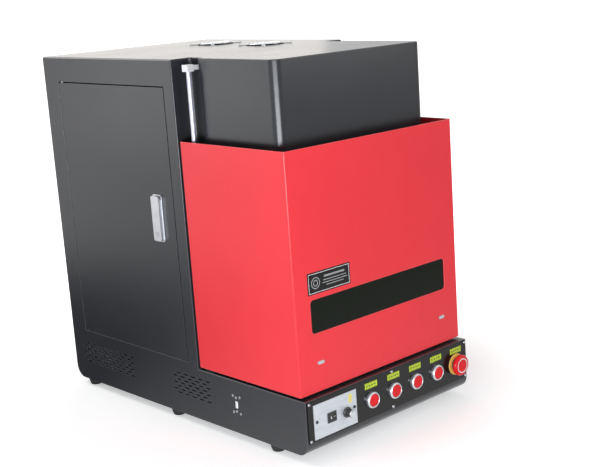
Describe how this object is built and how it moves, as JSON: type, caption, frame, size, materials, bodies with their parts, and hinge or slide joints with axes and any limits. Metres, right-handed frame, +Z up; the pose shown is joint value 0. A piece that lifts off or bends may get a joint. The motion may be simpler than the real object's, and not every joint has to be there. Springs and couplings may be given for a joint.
{
  "type": "fiber laser marking machine",
  "caption": "Enclosed desktop fiber laser marking machine: black cabinet and hood, red lifting cover with a window, push buttons along the base and fans on top.",
  "frame": {"origin": "on the floor under the middle of the whole machine", "axes": "+X to the right seen from the front, +Y to the rear, +Z up"},
  "size_m": [0.4278, 0.734, 0.6842],
  "materials": {
    "black_paint": "satin black powder coat, fine texture",
    "red_paint": "satin red powder coat",
    "black_panel": "glossy black panel",
    "steel": "brushed",
    "chrome": "polished",
    "aluminium": "satin",
    "dark_aluminium": "black anodised",
    "rubber": "matt",
    "black_plastic": "matt",
    "button_red": "gloss",
    "stop_yellow": "gloss",
    "tag_green": "satin",
    "dark_glass": "dark green filter",
    "red_anodised": "anodised"
  },
  "bodies": {
    "base": {"enclosure": "black_paint", "side_panels": "black_paint", "hood_shell": "black_paint", "rear_panel": "black_paint", "control_panel": "black_panel", "module_plate": "aluminium", "rocker_frame": "black_plastic", "potentiometer": "steel", "screws": "steel", "button_bezels": "aluminium", "contact_blocks": "black_plastic", "e_stop_ring": "stop_yellow", "e_stop_barrel": "black_plastic", "label_tags": "tag_green", "lift_cylinders": "black_paint", "guide_rods": "chrome", "rod_end_blocks": "aluminium", "door_frame": "black_paint", "hinge_pins": "steel", "fan_frames": "black_plastic", "fan_guards": "chrome", "feet": "rubber", "z_column": "dark_aluminium", "z_rails": "steel", "z_motor": "black_paint", "work_table": "aluminium", "laser_source": "aluminium", "mounting_plate": "aluminium", "power_supply": "aluminium", "controller": "dark_aluminium", "power_inlet": "black_plastic", "side_fixings": "steel"},
    "cover": {"cover": "red_paint", "cover_window": "dark_glass", "cover_plate": "black_panel", "cover_fixings": "steel", "cover_stiffener": "red_paint", "bearing_blocks": "dark_aluminium", "linear_bearings": "aluminium", "lift_rods": "chrome"},
    "door": {"door": "black_paint", "lock_plate": "steel"},
    "lock": {"lock_rotor": "steel"},
    "lever": {"lock_lever": "steel"},
    "button_1": {"button_1": "button_red"},
    "button_2": {"button_2": "button_red"},
    "button_3": {"button_3": "button_red"},
    "button_4": {"button_4": "button_red"},
    "stop_stem": {"e_stop_stem": "black_plastic"},
    "stop_head": {"e_stop_head": "button_red"},
    "rocker": {"rocker": "black_plastic"},
    "knob": {"knob": "black_plastic", "knob_spindle": "steel"},
    "rear_fan": {"fan_rotor_rear": "black_plastic"},
    "front_fan": {"fan_rotor_front": "black_plastic"},
    "screw": {"lead_screw": "chrome"},
    "carriage": {"z_carriage": "aluminium", "scan_head": "dark_aluminium", "f_theta_lens": "dark_aluminium", "beam_expander": "red_anodised"}
  },
  "joints": [
    {"name": "cover_lift", "type": "slide", "parent": "base", "child": "cover", "axis": [0, 0, 1], "range_m": [0, 0.24]},
    {"name": "door_swing", "type": "hinge", "parent": "base", "child": "door", "pos_m": [-0.205, 0.308, 0.424], "axis": [0, 0, -1], "range_deg": [0, 100]},
    {"name": "lock_turn", "type": "hinge", "parent": "door", "child": "lock", "pos_m": [-0.21, 0.018, 0.424], "axis": [1, 0, 0], "range_deg": [0, 90]},
    {"name": "lever_tilt", "type": "hinge", "parent": "lock", "child": "lever", "pos_m": [-0.2145, 0.018, 0.424], "axis": [0, 1, 0], "range_deg": [0, 14]},
    {"name": "stop_press", "type": "slide", "parent": "base", "child": "stop_stem", "axis": [0, 1, 0], "range_m": [0, 0.003]},
    {"name": "stop_twist", "type": "hinge", "parent": "stop_stem", "child": "stop_head", "pos_m": [0.177, -0.356, 0.072], "axis": [0, 1, 0], "range_deg": [0, 40], "stiffness_Nm_per_rad": 0.05},
    {"name": "rocker_tip", "type": "hinge", "parent": "base", "child": "rocker", "pos_m": [-0.154, -0.3485, 0.072], "axis": [0, 0, 1], "range_deg": [0, 16]},
    {"name": "knob_turn", "type": "hinge", "parent": "base", "child": "knob", "pos_m": [-0.118, -0.3505, 0.069], "axis": [0, 1, 0], "range_deg": [-150, 150]},
    {"name": "rear_fan_spin", "type": "hinge", "parent": "base", "child": "rear_fan", "pos_m": [0.09, 0.19, 0.653], "axis": [0, 0, 1], "continuous": true},
    {"name": "front_fan_spin", "type": "hinge", "parent": "base", "child": "front_fan", "pos_m": [0.09, 0.034, 0.653], "axis": [0, 0, 1], "continuous": true},
    {"name": "focus_lift", "type": "slide", "parent": "base", "child": "carriage", "axis": [0, 0, 1], "range_m": [-0.06, 0.08]},
    {"name": "screw_turn", "type": "hinge", "parent": "base", "child": "screw", "pos_m": [0, -0.088, 0.213], "axis": [0, 0, 1], "continuous": true},
    {"name": "button_1_press", "type": "slide", "parent": "base", "child": "button_1", "axis": [0, 1, 0], "range_m": [0, 0.0035], "stiffness_N_per_m": 400, "springref_m": -0.003},
    {"name": "button_2_press", "type": "slide", "parent": "base", "child": "button_2", "axis": [0, 1, 0], "range_m": [0, 0.0035], "stiffness_N_per_m": 400, "springref_m": -0.003},
    {"name": "button_3_press", "type": "slide", "parent": "base", "child": "button_3", "axis": [0, 1, 0], "range_m": [0, 0.0035], "stiffness_N_per_m": 400, "springref_m": -0.003},
    {"name": "button_4_press", "type": "slide", "parent": "base", "child": "button_4", "axis": [0, 1, 0], "range_m": [0, 0.0035], "stiffness_N_per_m": 400, "springref_m": -0.003}
  ],
  "couplings": [
    {"joint": "screw_turn", "follows": "focus_lift", "rad_per_m": 628.32}
  ]
}
